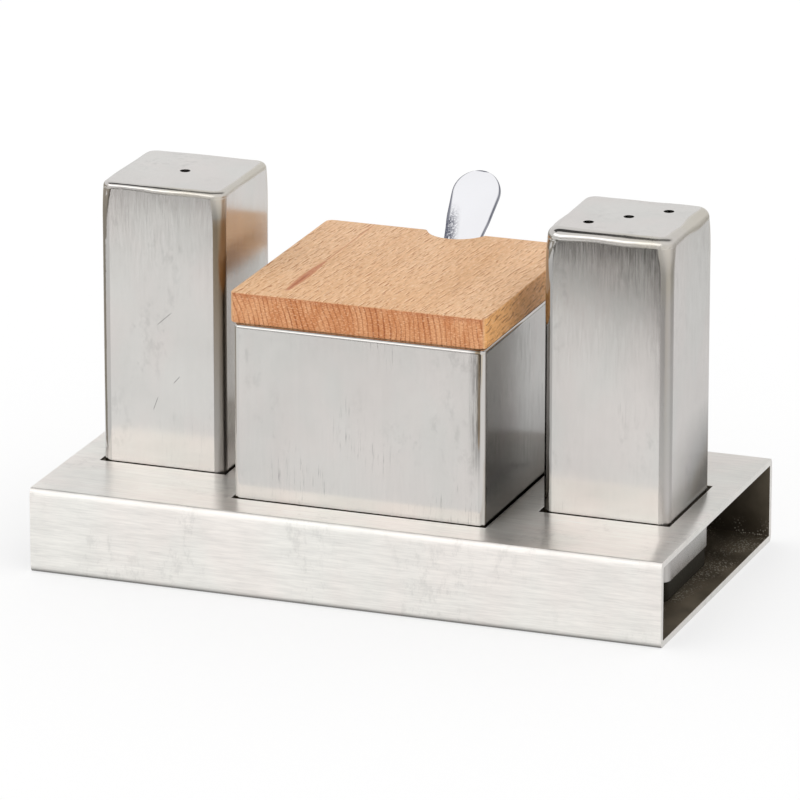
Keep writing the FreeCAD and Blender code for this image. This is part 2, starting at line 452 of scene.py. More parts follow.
def scratch(n, start, end):
    """A straight scratch on a front face, from one place to another, as (x, z) in millimetres."""
    x, y, z = n.axes()
    run, rise = end[0] - start[0], end[1] - start[1]
    length = math.hypot(run, rise)
    from_x = n.math("SUBTRACT", x, start[0] * MM)
    from_z = n.math("SUBTRACT", z, start[1] * MM)
    along = n.math("MULTIPLY_ADD", from_x, run / length, n.math("MULTIPLY", from_z, rise / length))
    beside = n.math("MULTIPLY_ADD", from_x, rise / length, n.math("MULTIPLY", from_z, -run / length))
    middle = n.math("ABSOLUTE", n.math("SUBTRACT", along, length / 2 * MM))
    thin = n.span(n.math("ABSOLUTE", beside), 0.16 * MM, 0.02 * MM)
    return n.math("MULTIPLY", thin, n.span(middle, length / 2 * MM, length / 4 * MM))


def brushed_steel(name, colour, along, roughness, streaks, marks, sides, scratches=()):
    """Steel brushed along one axis, with painted shade where it faces down and on its front and
    right sides, each as a share of its brightness. On the meshes "edge" marks polished edges,
    "ground" their ripples, "soft" where the polish is poor; one more painted number is painted shade."""
    n = Nodes(name)

    def stroked(across_waves, along_waves, offset=(0, 0, 0), detail=3):
        waves = [across_waves] * 3
        waves[along] = along_waves
        return n.noise(waves, detail=detail, roughness=0.68, offset=offset)

    fine = stroked(2500, 150, (0.37, 0.61, 0.43))
    wide = stroked(600, 60, (3.3, 1.6, 2.4))
    hair = stroked(3000, 150, (1.4, 8.3, 6.6))
    cloud = n.noise((42, 42, 42), detail=4, roughness=0.6, offset=(7, 7, 7))
    patch = n.span(n.noise((50, 50, 50), detail=2, offset=(5, 9, 1)), 0.46, 0.62)
    edge, painted_dark = n.painted("edge"), n.painted("painted_dark")
    flat = n.math("SUBTRACT", 1.0, edge)
    light = n.math("MULTIPLY", n.span(fine, 0.25, 0.75, 1 - streaks, 1 + streaks),
                   n.span(wide, 0.25, 0.75, 1 - streaks / 2, 1 + streaks / 2))
    light = n.math("MULTIPLY", light, n.span(cloud, 0.3, 0.7, 0.955, 1.025))
    wear = n.math("MULTIPLY", n.math("MULTIPLY", n.span(hair, 0.58, 0.72), patch), marks)
    light = n.math("MULTIPLY", light, n.math("SUBTRACT", 1.0, wear))
    scuff = n.span(n.noise((420, 420, 230), detail=4, roughness=0.75, offset=(2.2, 6.1, 3.7)), 0.50, 0.66)
    scuffed = n.span(n.noise((70, 70, 50), detail=1, offset=(8.4, 2.3, 5.6)), 0.45, 0.62)
    scuffs = n.math("MULTIPLY", n.math("MULTIPLY", scuff, scuffed), 0.10)
    light = n.math("MULTIPLY", light, n.math("SUBTRACT", 1.0, scuffs))
    light = n.between(flat, 0.9, light)
    normal = n.normal()
    front = n.span(normal[1], -0.7, -0.9)
    for start, end in scratches:
        cut = n.math("MULTIPLY", scratch(n, start, end), front)
        light = n.math("MULTIPLY", light, n.math("MULTIPLY_ADD", cut, -0.45, 1.0))
    # Painted shade from the painted number, streaked on the flat fronts
    streaked_front = n.math("MULTIPLY", flat, front)
    shade_amount = n.math("MULTIPLY", painted_dark, n.between(streaked_front, 1.0, n.span(hair, 0.36, 0.60, 0.4, 1.0)))
    light = n.math("MULTIPLY", light, n.math("SUBTRACT", 1.0, shade_amount))
    # Painted shade: the front and right sides keep only a share of their brightness
    light = n.math("MULTIPLY", light, n.between(front, 1.0, sides[0]))
    light = n.math("MULTIPLY", light, n.between(n.span(normal[0], 0.8, 1.0), 1.0, sides[1]))
    # Painted shade where the surface faces down
    under = n.span(n.math("MULTIPLY", normal[2], -1.0), 0.1, 0.6)
    light = n.math("MULTIPLY", light, n.math("MULTIPLY_ADD", under, -0.75, 1.0))
    tint = n.noise((70, 70, 35), detail=3, offset=(4, 6, 2))
    tinted = n.mixed(n.span(tint, 0.35, 0.65), rgb(1.015, 0.995, 0.985), rgb(0.985, 0.995, 0.985))
    weld = n.math("MULTIPLY", n.math("MULTIPLY", edge, n.painted("soft")), n.span(n.axes()[2], 0.068, 0.076))
    tinted = n.mixed(n.math("MULTIPLY", weld, n.span(tint, 0.3, 0.6, 0.3, 1.0)), tinted, rgb(1.0, 0.97, 0.88))
    # Painted shade is warmed where it is darkest: straw on the edges, brown on the flats
    tinted = n.mixed(n.math("MULTIPLY", edge, n.span(painted_dark, 0.40, 0.58)), tinted, rgb(1.0, 0.81, 0.58))
    tinted = n.mixed(n.math("MULTIPLY", flat, n.span(painted_dark, 0.5, 0.8)), tinted, rgb(1.0, 0.91, 0.78))
    ripple = n.noise((170, 170, 170), detail=2, offset=(2, 2, 8))
    height = n.math("ADD", n.math("MULTIPLY", n.math("MULTIPLY", fine, flat), 0.000003),
                    n.math("MULTIPLY", n.math("MULTIPLY", ripple, n.painted("ground")), RIPPLE_HEIGHT))
    n.bump(height, 1.0, 1.0)
    n.brush_along(along)
    crosswise = n.span(n.math("ABSOLUTE", normal[along]), 0.95, 0.7)
    brushed = n.span(fine, 0.3, 0.7, roughness - 0.04, roughness + 0.04)
    polished = n.between(n.painted("soft"), 0.08, 0.30)
    return n.finish(
        Base_Color=n.times(colour, n.shaded(tinted, light)),
        Metallic=1.0,
        Roughness=n.between(edge, brushed, polished),
        Anisotropic=n.math("MULTIPLY", n.math("MULTIPLY", flat, crosswise), 0.85),
    )


def rough_steel():
    """The inside of the stand's tube: brown mill scale, with grains of weld spatter, painted shade on its front and
    back walls and painted light toward its open ends.
    """
    n = Nodes("stand_inside")
    cloud = n.noise((60, 60, 60), detail=4, roughness=0.6)
    grain = n.cells((1700, 1700, 1700))
    x, y, z = n.axes()
    slanted = n.math("MULTIPLY_ADD", y, -0.13, n.math("ABSOLUTE", x))
    end = n.math("MULTIPLY", n.span(slanted, 0.060, 0.067), n.span(slanted, 0.0735, 0.0705))
    corner = n.math("MULTIPLY", n.span(y, 0.030, 0.037), n.span(n.math("ABSOLUTE", x), 0.040, 0.060))
    low = n.span(z, 0.006, 0.002)
    patch = n.span(n.noise((150, 150, 150), detail=3, offset=(2, 5, 1)), 0.36, 0.55)
    where = n.math("MULTIPLY", n.math("MAXIMUM", end, corner), n.math("MULTIPLY", low, patch))
    spatter = n.math("MULTIPLY", n.span(grain, 0.40, 0.24), where)
    # Painted shade on the front and back walls, and painted light that grows toward the open ends
    wall_shade = n.span(n.math("ABSOLUTE", n.normal()[1]), 0.5, 0.9, 1.0, 0.55)
    colour = n.mixed(n.span(cloud, 0.3, 0.7), rgb(0.085, 0.068, 0.046), rgb(0.175, 0.146, 0.106))
    colour = n.shaded(colour, n.math("MULTIPLY", wall_shade, n.span(n.math("ABSOLUTE", x), 0.055, 0.073, 1.0, 1.5)))
    colour = n.mixed(spatter, colour, rgb(0.60, 0.56, 0.47))
    n.bump(n.math("ADD", spatter, n.math("MULTIPLY", cloud, 0.3)), 0.6, 0.0003)
    return n.finish(Base_Color=colour, Metallic=0.75, Roughness=n.span(cloud, 0.3, 0.7, 0.42, 0.6))


def satin_steel():
    """The inside of the sugar box, which scatters more light than its brushed outside."""
    n = Nodes("box_inside")
    stroke = n.noise((900, 900, 60), detail=3, roughness=0.65, offset=(0.3, 0.7, 0.1))
    cloud = n.noise((45, 45, 45), detail=4, roughness=0.6, offset=(3, 1, 2))
    colour = n.shaded(rgb(0.52, 0.51, 0.49), n.span(stroke, 0.3, 0.7, 0.88, 1.06))
    colour = n.shaded(colour, n.span(cloud, 0.3, 0.7, 0.9, 1.05))
    n.bump(stroke, 0.2, 0.00005)
    return n.finish(Base_Color=colour, Metallic=0.5, Roughness=n.span(cloud, 0.3, 0.7, 0.42, 0.52))


def polished_steel():
    """The spoon: bright, with faint polishing lines, and a painted dark reflection in a mottled patch, a band and its
    rim.
    """
    n = Nodes("spoon_steel")
    cloud = n.noise((120, 120, 60), detail=3)
    lines = n.noise((2500, 2500, 90), detail=2)
    x, y, z = n.axes()
    # Painted dark reflection: a mottled patch on the left, a band at the top left, and the rim
    mottle = n.span(n.noise((2400, 2400, 1600), detail=4, roughness=0.75), 0.38, 0.54)
    from_left = n.math("MULTIPLY_ADD", z, 0.14, x)
    patch = n.math("MULTIPLY", n.span(from_left, 0.0114, 0.0084), n.span(z, 0.0742, 0.0695))
    patch = n.math("MULTIPLY", patch, n.span(z, 0.056, 0.060))
    band = n.math("MULTIPLY", n.span(from_left, 0.0085, 0.0081), n.span(z, 0.0785, 0.0755))
    painted_dark = n.math("MAXIMUM", n.math("MULTIPLY", mottle, patch), n.math("MULTIPLY", band, 0.8))
    painted_dark = n.math("MAXIMUM", painted_dark, n.math("MULTIPLY", n.painted("rim"), n.span(cloud, 0.3, 0.6, 0.75, 1.0)))
    bright = n.shaded(rgb(0.915, 0.915, 0.945), n.span(cloud, 0.3, 0.7, 0.97, 1.0))
    n.bump(n.math("ADD", lines, n.math("MULTIPLY", cloud, 2.0)), 0.15, 0.00002)
    return n.finish(
        Base_Color=n.mixed(painted_dark, bright, rgb(0.075, 0.080, 0.120)),
        Metallic=1.0,
        Roughness=n.span(cloud, 0.3, 0.7, 0.07, 0.12),
    )


def flecks(n, across, along, cell, size, curl):
    """Short dark pores strewn over a surface: where they are, from 0 to 1."""
    bend = n.noise((260, 160, 260), detail=1, offset=(cell[0], 0, 0))
    place = n.tree.nodes.new("ShaderNodeCombineXYZ")
    n.link(n.math("DIVIDE", n.math("MULTIPLY_ADD", bend, curl, across), cell[0]), place.inputs[0])
    n.link(n.math("DIVIDE", along, cell[1]), place.inputs[1])
    nearest = n.tree.nodes.new("ShaderNodeTexVoronoi")
    nearest.voronoi_dimensions = "2D"
    nearest.inputs["Scale"].default_value = 1.0
    n.link(place.outputs[0], nearest.inputs["Vector"])
    from_middle = n.tree.nodes.new("ShaderNodeVectorMath")
    from_middle.operation = "SUBTRACT"
    n.link(place.outputs[0], from_middle.inputs[0])
    n.link(nearest.outputs["Position"], from_middle.inputs[1])
    parts = n.tree.nodes.new("ShaderNodeSeparateXYZ")
    n.link(from_middle.outputs[0], parts.inputs[0])
    chance = n.tree.nodes.new("ShaderNodeSeparateColor")
    n.link(nearest.outputs["Color"], chance.inputs[0])
    half_length = n.span(chance.outputs[0], 0.0, 1.0, 0.4 * size[1] / cell[1], 1.25 * size[1] / cell[1])
    a = n.math("POWER", n.math("DIVIDE", parts.outputs[0], size[0] / cell[0]), 2.0)
    b = n.math("POWER", n.math("DIVIDE", parts.outputs[1], half_length), 2.0)
    strength = n.span(chance.outputs[1], 0.0, 0.8, 0.2, 1.0)
    return n.math("MULTIPLY", n.span(n.math("ADD", a, b), 1.3, 0.4), strength)


def beech(name):
    """Beech with its grain along Y: rings in the end grain, and short dark pores along it."""
    n = Nodes(name)
    x, y, z = n.axes()
    normal = n.normal()
    end_grain = n.span(n.math("ABSOLUTE", normal[1]), 0.6, 0.9)
    edge_grain = n.span(n.math("ABSOLUTE", normal[0]), 0.6, 0.9)
    tone = n.noise((60, 5, 60), detail=3, roughness=0.6, offset=(4, 0, 1))
    speck = n.noise((2000, 700, 2000), detail=2, roughness=0.7)

    wobble = n.noise((26, 5, 26), detail=2, offset=(1, 0, 0))
    uneven = n.noise((95, 9, 95), detail=1, offset=(2.5, 0.5, 1.5))
    from_pith_x = n.math("ADD", x, 0.070)
    from_pith_z = n.math("SUBTRACT", z, 0.052)
    pith = n.math("SQRT", n.math("ADD", n.math("POWER", from_pith_x, 2.0), n.math("POWER", from_pith_z, 2.0)))
    ring = n.math("MULTIPLY_ADD", uneven, 0.0027, n.math("MULTIPLY_ADD", wobble, 0.0055, pith))
    wave = n.math("SINE", n.math("MULTIPLY", ring, 2 * math.pi / 0.00118))
    ring_depth = n.span(n.noise((140, 10, 140), detail=1, offset=(6, 0, 2)), 0.3, 0.7, 0.35, 1.0)
    line = n.math("MULTIPLY", n.span(wave, 0.35, 0.95), ring_depth)

    across = n.math("ADD", n.between(edge_grain, x, z), n.math("MULTIPLY", y, -0.10))
    long_pores = flecks(n, across, y, (0.0015, 0.0052), (0.00015, 0.0022), 0.0011)
    short_pores = flecks(n, n.math("ADD", across, 0.02), y, (0.0011, 0.0035), (0.00013, 0.0012), 0.0008)
    pores = n.math("MAXIMUM", long_pores, n.math("MULTIPLY", short_pores, 0.8))
    pores = n.math("MULTIPLY", pores, n.span(tone, 0.25, 0.6, 0.55, 1.0))

    colour = n.mixed(n.span(tone, 0.3, 0.7), rgb(0.73, 0.425, 0.22), rgb(0.83, 0.53, 0.31))
    colour = n.mixed(n.math("MULTIPLY", line, 0.06), colour, rgb(0.55, 0.27, 0.12))
    fibre = n.noise((2600, 130, 2600), detail=3, roughness=0.7, offset=(1.5, 2.5, 3.5))
    colour = n.shaded(colour, n.span(fibre, 0.3, 0.7, 0.90, 1.06))
    colour = n.mixed(n.math("MULTIPLY", n.span(speck, 0.45, 0.75), 0.36), colour, rgb(0.55, 0.27, 0.11))
    colour = n.mixed(n.math("MULTIPLY", n.span(speck, 0.44, 0.27), 0.40), colour, rgb(0.94, 0.70, 0.48))
    # Painted highlight: a pale streak beside each pore, as light catching the raised grain
    beside = flecks(n, n.math("ADD", across, 0.00035), y, (0.0015, 0.0052), (0.00018, 0.0019), 0.0011)
    colour = n.mixed(n.math("MULTIPLY", beside, 0.5), colour, rgb(0.95, 0.68, 0.43))
    colour = n.mixed(n.math("MULTIPLY", pores, 0.8), colour, rgb(0.38, 0.105, 0.012))
    lens = n.math("DIVIDE", n.math("SUBTRACT", y, STREAK_Y), STREAK_HALF_LENGTH)
    lens = n.math("MAXIMUM", n.math("SUBTRACT", 1.0, n.math("MULTIPLY", lens, lens)), 0.12)
    width = n.math("MULTIPLY", n.math("MULTIPLY", lens, STREAK_HALF_WIDTH), n.span(tone, 0.2, 0.8, 0.8, 1.2))
    from_streak = n.math("ABSOLUTE", n.math("SUBTRACT", x, STREAK_X))
    streak = n.math("MULTIPLY", n.span(n.math("DIVIDE", from_streak, width), 1.3, 0.7),
                    n.span(y, STREAK_Y - STREAK_HALF_LENGTH, STREAK_Y - 0.7 * STREAK_HALF_LENGTH))
    colour = n.mixed(n.math("MULTIPLY", streak, 0.68), colour, rgb(0.50, 0.15, 0.06))
    core = n.math("MULTIPLY", n.span(n.math("DIVIDE", from_streak, width), 0.5, 0.15), streak)
    core = n.math("MULTIPLY", core, n.span(y, STREAK_Y + 0.3 * STREAK_HALF_LENGTH, STREAK_Y))
    colour = n.mixed(n.math("MULTIPLY", core, 0.6), colour, rgb(0.34, 0.08, 0.025))
    edge_tone = n.mixed(n.math("MULTIPLY", pores, 0.8), rgb(0.85, 0.43, 0.145), rgb(0.26, 0.075, 0.010))
    edge_tone = n.mixed(n.math("MULTIPLY", n.span(speck, 0.47, 0.70), 0.5), edge_tone, rgb(0.42, 0.17, 0.06))
    edge_tone = n.mixed(n.math("MULTIPLY", n.span(speck, 0.44, 0.27), 0.4), edge_tone, rgb(0.95, 0.66, 0.40))
    colour = n.mixed(n.math("MULTIPLY", edge_grain, 0.85), colour, edge_tone)

    year = n.noise((330, 12, 110), detail=3, offset=(8.5, 1.5, 4.5))
    end = n.mixed(n.span(year, 0.32, 0.68), rgb(0.61, 0.245, 0.095), rgb(0.74, 0.365, 0.175))
    end = n.mixed(n.math("MULTIPLY", line, 0.85), end, rgb(0.30, 0.075, 0.014))
    top_edge = n.math("MULTIPLY", n.span(z, LID_TOP * MM - 0.0016, LID_TOP * MM - 0.0004), n.span(tone, 0.3, 0.6))
    end = n.mixed(n.math("MULTIPLY", top_edge, 0.5), end, rgb(0.42, 0.13, 0.05))
    dash = n.noise((1500, 1500, 3800), detail=2, roughness=0.7, offset=(3, 3, 3))
    end = n.mixed(n.math("MULTIPLY", n.span(dash, 0.48, 0.68), 0.5), end, rgb(0.34, 0.12, 0.05))
    end = n.mixed(n.math("MULTIPLY", n.span(dash, 0.47, 0.32), 0.62), end, rgb(0.88, 0.58, 0.36))
    colour = n.mixed(end_grain, colour, end)
    dent = n.math("ADD", n.math("MULTIPLY", pores, -1.0), n.math("MULTIPLY", speck, 0.3))
    n.bump(dent, 0.6, 0.00012)
    n.shader.inputs["Specular IOR Level"].default_value = 0.25
    return n.finish(Base_Color=colour, Roughness=n.span(speck, 0.3, 0.7, 0.48, 0.6))


def dark_plastic():
    n = Nodes("plug_plastic")
    fine = n.noise((1600, 1600, 1600), detail=3)
    cloud = n.noise((90, 90, 90), detail=2)
    colour = n.mixed(cloud, rgb(0.014, 0.012, 0.008), rgb(0.030, 0.026, 0.018))
    n.bump(fine, 0.2, 0.00005)
    n.shader.inputs["Specular IOR Level"].default_value = 0.1
    return n.finish(Base_Color=colour, Roughness=n.span(fine, 0.3, 0.7, 0.55, 0.65))


# Pieces


def dress(piece, body, materials, nodes):
    """Puts a piece in the place of CAD nodes, on their body, with its materials."""
    piece.data.materials.clear()
    for material in materials:
        piece.data.materials.append(material)
    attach(piece, body)
    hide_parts(*nodes)
    return piece


def tube_rings(outer, inner, levels, place):
    """Rings of a tube: up its outside and down its inside."""
    return [[place(a, b, level) for a, b in outer] for level in levels] + [
        [place(a, b, level) for a, b in inner] for level in reversed(levels)
    ]


def stand():
    """The flat tube with its three cut-outs, and the scale inside it."""
    low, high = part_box("stand_tube")
    size = (high - low) / MM
    half_y, half_z = size.y / 2, size.z / 2
    middle_z = (low.z + high.z) / 2 / MM
    outer = rounded_ring(half_y, half_z, STAND_ROUNDING_Y, 12, 14, STAND_ROUNDING_Z)
    inner = rounded_ring(half_y - STAND_WALL, half_z - STAND_WALL, STAND_RADIUS_INSIDE, 12, 14)
    levels = steps_between(low.x / MM, high.x / MM, 24)
    place = lambda a, b, level: mm(level, a, b + middle_z)
    piece = lofted("stand", tube_rings(outer, inner, levels, place), join_last_to_first=True)
    cutters = []
    for node in ("left_shaker_tube", "box_tube", "right_shaker_tube"):
        body_low, body_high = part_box(node)
        gap = Vector((CUTOUT_GAP, CUTOUT_GAP, 0)) * MM
        lowest = Vector((body_low.x, body_low.y, (low.z + high.z) / 2)) - gap
        highest = Vector((body_high.x, body_high.y, high.z + 0.01)) + gap
        cutters.append(block(lowest, highest))
    cut_away(piece, cutters)
    break_edges(piece, CUT_EDGE, 50)
    smooth(piece)
    inside_y = half_y - STAND_WALL + 0.01
    inside_z = half_z - STAND_WALL + 0.01
    dress(piece, "stand", [STAND_STEEL, STAND_INSIDE], ["stand_tube"])
    cut_x = high.x / MM - 0.5
    for face in piece.data.polygons:
        x, y, z = face.center.x / MM, face.center.y / MM, face.center.z / MM - middle_z
        inside = abs(y) < inside_y and abs(z) < inside_z
        cut = abs(y) < inside_y and abs(x) < cut_x and abs(face.normal.z) < 0.3
        face.material_index = 1 if inside or cut else 0
    return piece


def shaker(side, holes):
    """A shaker's tube and its welded top, ground into one skin, with its pour holes."""
    tube, top = f"{side}_shaker_tube", f"{side}_shaker_top"
    low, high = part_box(tube)
    top_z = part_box(top)[1].z / MM
    middle = (low + high) / 2 / MM
    half = (high.x - low.x) / 2 / MM
    inside = half - SHAKER_WALL
    place = lambda a, b, z: mm(middle.x + a, middle.y + b, z)
    ring = lambda inset, radius: rounded_ring(half - inset, half - inset, radius, 10, 12)
    bottom_z = low.z / MM
    inner = rounded_ring(inside, inside, SHAKER_RADIUS - SHAKER_WALL, 10, 12)
    rings = [[place(a, b, top_z - SHAKER_WALL) for a, b in inner]]
    rings += [[place(a, b, bottom_z + CUT_EDGE) for a, b in inner]]
    rings += [[place(a, b, bottom_z) for a, b in rounded_ring(inside + CUT_EDGE, inside + CUT_EDGE, 1, 10, 12)]]
    rings += [[place(a, b, bottom_z) for a, b in ring(CUT_EDGE, SHAKER_RADIUS)]]
    rounding, radius_top = SHAKER_TOP_ROUNDING[side], SHAKER_RADIUS_TOP[side]

    def grind(a, b):
        """The top edge's radius, a little uneven from the hand grinding."""
        return rounding * (1 + GRIND_UNEVEN * noise.noise(Vector((a * 0.11, b * 0.11, rounding))))

    def radius_at(z):
        """Hand grinding has rounded the upright edges more near the top."""
        share = min(1.0, max(0.0, 1 - (top_z - rounding - z) / SHAKER_GROUND_HEIGHT))
        return SHAKER_RADIUS + (radius_top - SHAKER_RADIUS) * share**2

    for z in steps_between(bottom_z + CUT_EDGE, top_z - 2 * rounding, 40):
        rings.append([place(a, b, z) for a, b in ring(0, radius_at(z))])
    outline, inward = ring(0, radius_top), ring(1, radius_top - 1)
    arc = [(0, 1 + SUPPORT)] + [(1 - math.cos(turn), 1 - math.sin(turn)) for turn in steps_between(0, math.pi / 2, 10)]
    for across, down in arc + [(1 + SUPPORT, 0)]:
        layer = []
        for (a, b), (c, d) in zip(outline, inward):
            radius = grind(a, b)
            inset = radius * across
            layer.append(place(a + (c - a) * inset, b + (d - b) * inset, top_z - radius * down))
        rings.append(layer)
    piece = lofted(f"{side}_shaker", rings)
    cutters = []
    for hole in range(holes):
        diagonal = (hole - (holes - 1) / 2) * HOLE_PITCH * math.sqrt(0.5)
        centre = mm(middle.x + diagonal, middle.y + diagonal, top_z)
        cutters.append(round_bar(centre, HOLE_DIAMETER / 2 * MM, 4 * SHAKER_WALL * MM))
    cut_away(piece, cutters)
    smooth(piece)
    dress(piece, f"{side}_shaker", [SHAKER_STEELS[side]], [tube, top])

    def surface(co):
        """How far in from the outline a point is, its turn round the corner, and down from the top."""
        a, b, down = co.x / MM - middle.x, co.y / MM - middle.y, top_z - co.z / MM
        radius = radius_at(co.z / MM)
        corner = Vector((max(0, abs(a) - half + radius), max(0, abs(b) - half + radius)))
        in_corner = min(abs(a), abs(b)) > half - radius - 0.02
        inset = radius - corner.length if in_corner else half - max(abs(a), abs(b))
        turn = math.atan2(corner.y, corner.x) if in_corner else 0.0
        return a, b, down, inset, in_corner, turn, grind(a, b)

    def edge_at(co):
        a, b, down, inset, in_corner, turn, radius = surface(co)
        if down < radius + 0.05:
            return 1.0 if inset < radius + 0.05 else 0.0
        return 1.0 if in_corner else 0.0

    def ground_at(co):
        a, b, down, inset, in_corner, turn, radius = surface(co)
        over = math.asin(min(1.0, max(0.0, 1 - down / radius))) if inset < radius + 0.05 else 0.0
        return max(math.sin(2 * turn) ** 2 if down > radius else 0.0, math.sin(2 * over) ** 2)

    # Painted shade, as a share of the brightness: on the front corners below the top edge, on the right shaker's right
    # face lower down and, weaker, inside the stand, and on the front below the top edge and beside the right corner
    def shade_at(co):
        a, b, down, inset, in_corner, turn, radius = surface(co)
        if in_corner and b < 0:
            fade = min(1.0, max(0.0, (down - radius) / 6))
            if a < 0:
                return CORNER_SHADE[side][0] * fade
            return CORNER_SHADE[side][1] * fade * (1.2 - 0.4 * down / (top_z - STAND_TOP))
        if a > half - 0.05 and side == "right" and co.z / MM < STAND_TOP:
            return SHADE_INSIDE
        if a > half - 0.05 and side == "right":
            low_down = min(1.0, max(0.0, (down - SHADE_DOWN) / (top_z - SHADE_DOWN - STAND_TOP)))
            return min(SHADE_MOST, SHADE * low_down * (0.5 + b / half / 2))
        if b > 0.05 - half or down < radius:
            return 0.0
        below_edge = 1 - (down - radius) / 5
        beside_edge = (1 - (half - radius_at(co.z / MM) - a) / 3) * max(0.0, 1 - down / 50)
        return FRONT_TOP_SHADE[side] * min(1.3, max(0.0, below_edge) + max(0.0, beside_edge))

    paint(piece, "edge", edge_at)
    paint(piece, "ground", ground_at)
    paint(piece, "painted_dark", shade_at)
    paint(piece, "soft", lambda co: min(1.0, max(0.0, 0.5 + (co.x / MM - middle.x) / SOFT_FADE[side])))
    return piece


def sugar_box():
    """The box's walls, with a polished rim."""
    low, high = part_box("box_tube")
    middle = (low + high) / 2 / MM
    half = (high.x - low.x) / 2 / MM
    top_z, bottom_z = high.z / MM, low.z / MM
    place = lambda a, b, z: mm(middle.x + a, middle.y + b, z)
    ring = lambda inset, radius: rounded_ring(half - inset, half - inset, radius, 8, 24)
    rings = []
    for z in steps_between(bottom_z, top_z - RIM_ROUNDING - SUPPORT, 20) + [top_z - RIM_ROUNDING]:
        rings.append([place(a, b, z) for a, b in ring(0, BOX_RADIUS)])
    for turn in steps_between(0, math.pi / 2, 5)[1:]:
        inset = RIM_ROUNDING * (1 - math.cos(turn))
        z = top_z - RIM_ROUNDING + RIM_ROUNDING * math.sin(turn)
        rings.append([place(a, b, z) for a, b in ring(inset, BOX_RADIUS - inset)])
    inner_radius = BOX_RADIUS - BOX_WALL
    for z in (top_z, top_z - RIM_ROUNDING, bottom_z):
        inset = BOX_WALL - (CUT_EDGE if z == top_z else 0)
        rings.append([place(a, b, z) for a, b in ring(inset, inner_radius)])
    piece = lofted("sugar_box_walls", rings, join_last_to_first=True)
    smooth(piece)
    dress(piece, "sugar_box", [BOX_STEEL, BOX_INSIDE], ["box_tube"])
    for face in piece.data.polygons:
        a, b = abs(face.center.x / MM - middle.x), abs(face.center.y / MM - middle.y)
        face.material_index = 1 if max(a, b) < half - BOX_WALL + 0.01 else 0

    def edge_at(co):
        a, b = abs(co.x / MM - middle.x), abs(co.y / MM - middle.y)
        return 1.0 if min(a, b) > half - BOX_RADIUS - 0.05 or co.z / MM > top_z - RIM_ROUNDING - 0.05 else 0.0

    # Painted shade on the right face, darkest at the stand's top and fading above and below it, and a dark line
    # painted along the front right corner from 30 mm up
    def shade_at(co):
        a, b = co.x / MM - middle.x, co.y / MM - middle.y
        if a > half - 0.05:
            z = co.z / MM
            return BOX_SHADE * max(0.0, min(z / STAND_TOP, 1 - (z - STAND_TOP) / 24))
        line = b < 0 and abs(a - half + BOX_RADIUS) < 0.3
        return 0.7 * max(0.0, min(1.0, (co.z / MM - 30) / 12)) if line else 0.0

    paint(piece, "edge", edge_at)
    paint(piece, "painted_dark", shade_at)
    return piece


def lid_outline(z, low, high):
    """The board's outline at a height: round corners, and the notch where it is there."""
    left, front, right, back = low.x / MM, low.y / MM, high.x / MM, high.y / MM
    r = LID_RADIUS
    points = []

    def corner(cx, cy, start, radius, steps=5):
        for step in range(steps + 1):
            turn = start + math.pi / 2 * step / steps
            points.append((cx + radius * math.cos(turn), cy + radius * math.sin(turn)))

    def side(a, b, steps=10):
        for step in range(1, steps):
            share = step / steps
            points.append((a[0] + (b[0] - a[0]) * share, a[1] + (b[1] - a[1]) * share))

    corner(left + r, front + r, math.pi, r)
    side((left + r, front), (right - r, front))
    corner(right - r, front + r, -math.pi / 2, r)
    side((right, front + r), (right, back - r))
    corner(right - r, back - r, 0, r)
    top_z = high.z / MM
    axis_y = NOTCH_TOP_FRONT_Y + NOTCH_RADIUS / math.cos(NOTCH_LEAN) - (top_z - z) * math.tan(NOTCH_LEAN)
    reach_y = NOTCH_RADIUS / math.cos(NOTCH_LEAN)
    mouth = min(1.0, (back - axis_y) / reach_y)
    start = math.asin(max(-1.0, mouth))
    half_chord = NOTCH_RADIUS * math.cos(start)
    right_lip, left_lip = NOTCH_X + half_chord, NOTCH_X - half_chord
    side((right - r, back), (right_lip + NOTCH_MOUTH, back), 6)
    points.append((right_lip + NOTCH_MOUTH, back))
    points.append((right_lip + NOTCH_MOUTH * 0.35, back - NOTCH_MOUTH * 0.12))
    steps = 20
    for step in range(1, steps):
        turn = start - (math.pi + 2 * start) * step / steps
        points.append((NOTCH_X + NOTCH_RADIUS * math.cos(turn), axis_y + reach_y * math.sin(turn)))
    points.append((left_lip - NOTCH_MOUTH * 0.35, back - NOTCH_MOUTH * 0.12))
    points.append((left_lip - NOTCH_MOUTH, back))
    side((left_lip - NOTCH_MOUTH, back), (left + r, back), 6)
    corner(left + r, back - r, math.pi / 2, r)
    side((left, back - r), (left, front + r))
    return points


def lid_board():
    """The wooden board with its notch, its edges eased with sandpaper."""
    low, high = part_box("lid_board")
    levels = steps_between(low.z / MM, high.z / MM, 6)
    rings = [[mm(a, b, z) for a, b in lid_outline(z, low, high)] for z in levels]
    piece = lofted("lid", rings)
    break_edges(piece, LID_EDGE, 50, 4)
    smooth(piece, 50)
    return dress(piece, "lid", [LID_WOOD], ["lid_board"])


def handle_half_width(distance):
    """The handle's half width at a distance from its end."""
    end_radius = HANDLE_END_WIDTH / 2
    if distance < end_radius:
        return math.sqrt(max(0.0, end_radius**2 - (end_radius - distance) ** 2))
    stations = [(end_radius, end_radius)] + sorted(HANDLE_HALF_WIDTHS) + [(65.0, NECK_WIDTH / 2)]
    for (near, wide), (far, slim) in zip(stations, stations[1:]):
        if distance <= far:
            share = (distance - near) / (far - near)
            share = share * share * (3 - 2 * share) * 0.35 + share * 0.65
            return wide + (slim - wide) * share
    return NECK_WIDTH / 2


